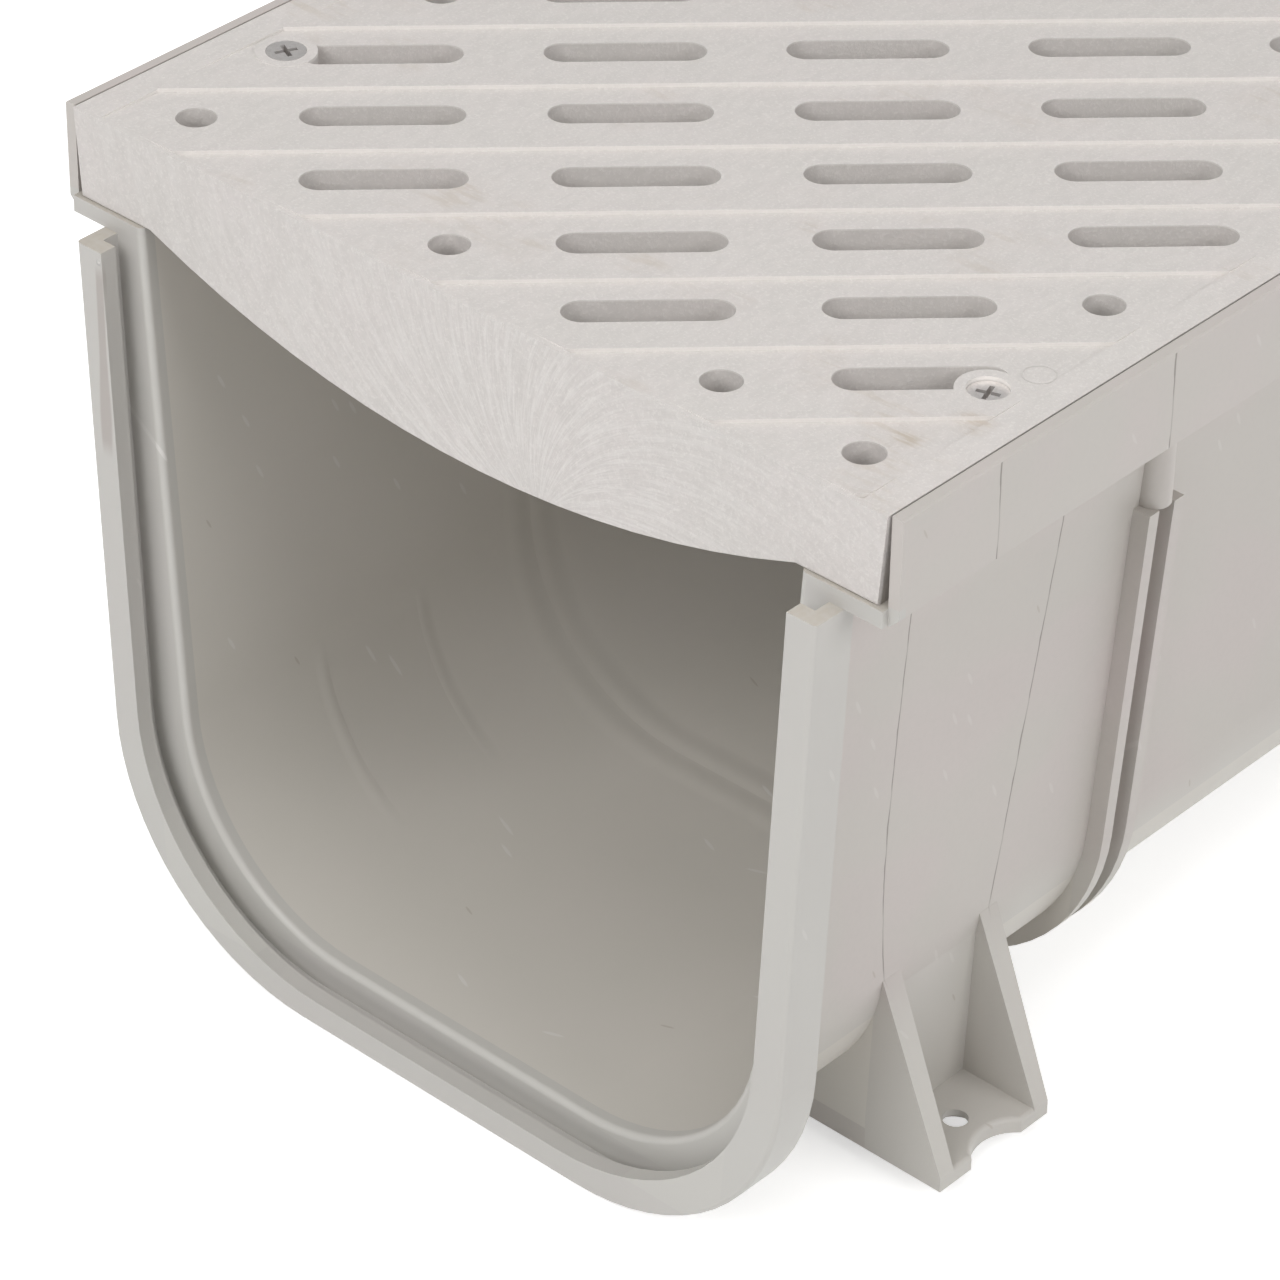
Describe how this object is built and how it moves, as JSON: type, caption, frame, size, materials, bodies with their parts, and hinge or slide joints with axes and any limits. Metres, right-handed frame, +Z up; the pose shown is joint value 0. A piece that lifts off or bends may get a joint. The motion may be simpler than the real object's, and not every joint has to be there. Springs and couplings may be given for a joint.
{
  "type": "channel drain",
  "caption": "Slim U-section floor drainage channel with a drop-in slotted grating, screwed seats, side feet, stiffening ribs and a grooved joint flange.",
  "frame": {"origin": "centre of the bounding box at its underside, the level the joint flange stands on", "axes": "+Z up, X across the channel, +Y along the channel from the grooved joint flange to the tongue end"},
  "size_m": [0.2, 0.5084, 0.1742],
  "materials": {
    "channel": "satin moulded",
    "grating": "fine matt grain",
    "screw": "dull zinc"
  },
  "bodies": {
    "root": {"channel_body": "channel", "grate": "grating", "screw_front_left": "screw", "screw_front_right": "screw", "screw_back_left": "screw", "screw_back_right": "screw"}
  },
  "joints": []
}
